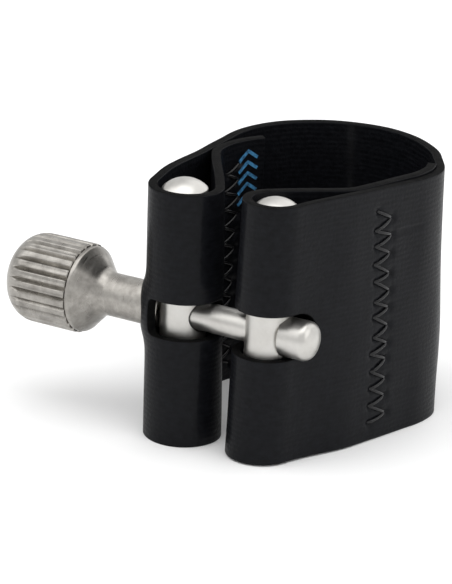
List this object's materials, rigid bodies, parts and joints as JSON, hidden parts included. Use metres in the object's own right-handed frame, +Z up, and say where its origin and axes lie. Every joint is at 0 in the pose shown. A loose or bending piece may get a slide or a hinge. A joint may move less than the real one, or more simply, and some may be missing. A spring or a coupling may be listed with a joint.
{
  "type": "saxophone ligature",
  "caption": "Strap ligature that clamps a reed to a saxophone mouthpiece: a folded coated-fabric strap looped over metal rods drawn together by a fluted thumbscrew.",
  "frame": {"origin": "on the mouthpiece axis, in the plane of the strap's lower edge", "axes": "+Z up the mouthpiece axis, -Y to the two rods, +X along the screw from the knob to the sleeve nut"},
  "size_m": [0.0446, 0.041, 0.0321],
  "materials": {
    "strap_fabric": "semi-gloss coated fabric",
    "sewing_thread": "waxed bonded thread",
    "plated_metal": "polished nickel plate",
    "satin_metal": "satin nickel plate, turned and fluted"
  },
  "bodies": {
    "strap_side": {"strap": "strap_fabric", "seam_left_outer": "sewing_thread", "seam_left_inner": "sewing_thread", "seam_right_outer": "sewing_thread", "seam_right_inner": "sewing_thread", "left_rod": "plated_metal"},
    "screw": {"thumb_knob": "satin_metal", "threaded_stud": "satin_metal"},
    "nut_side": {"right_rod": "plated_metal", "sleeve_nut": "plated_metal"}
  },
  "joints": [
    {"name": "thumbscrew_turn", "type": "hinge", "parent": "strap_side", "child": "screw", "pos_m": [-0.02, -0.0227, 0.01555], "axis": [1, 0, 0], "range_deg": [-1800, 1440]},
    {"name": "nut_draw", "type": "slide", "parent": "strap_side", "child": "nut_side", "axis": [1, 0, 0], "range_m": [-0.0026, 0.0032], "deforming": ["strap"]}
  ],
  "couplings": [
    {"joint": "nut_draw", "follows": "thumbscrew_turn", "m_per_rad": -0.00010106}
  ]
}
